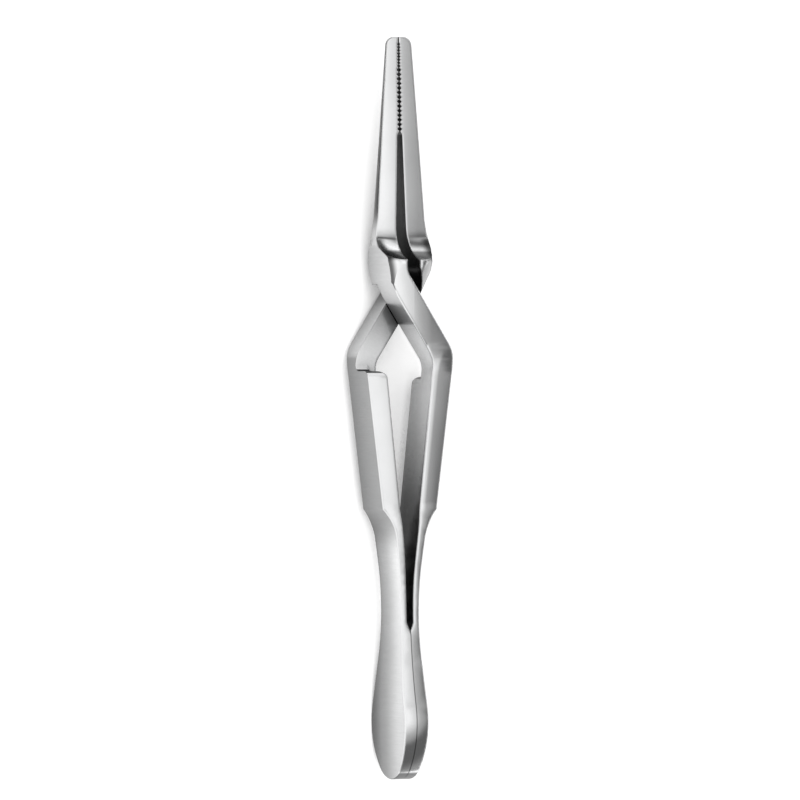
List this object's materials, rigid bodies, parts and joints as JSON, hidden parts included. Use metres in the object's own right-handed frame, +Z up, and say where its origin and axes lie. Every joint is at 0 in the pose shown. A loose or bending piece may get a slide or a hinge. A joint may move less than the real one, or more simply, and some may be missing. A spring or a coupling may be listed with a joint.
{
  "type": "crossing intestinal clamp",
  "caption": "Self-closing crossing-arm intestinal clamp: spoon tail, spring leaves, flat grips, crossing bars and toothed tapering jaws.",
  "frame": {"origin": "centre of the clamp's outline on the surface that it lies on edge on", "axes": "+Y from the spoon tail to the jaw tips, +X across the grips in the plane of squeezing, towards the right grip, +Z up along the width of the strip, towards the milled front of the jaws"},
  "size_m": [0.0196, 0.15, 0.0147],
  "materials": {
    "left_arm_steel": "satin ground surgical stainless steel with brighter edges",
    "right_arm_steel": "satin ground surgical stainless steel with brighter edges"
  },
  "bodies": {
    "right_arm": {"right_arm": "right_arm_steel"},
    "left_arm": {"left_arm": "left_arm_steel"}
  },
  "joints": [
    {"name": "arm_squeeze", "type": "hinge", "parent": "right_arm", "child": "left_arm", "pos_m": [0, -0.039, 0.00735], "axis": [0, 0, -1], "range_deg": [0, 12], "stiffness_Nm_per_rad": 2, "springref_deg": -5.73}
  ]
}
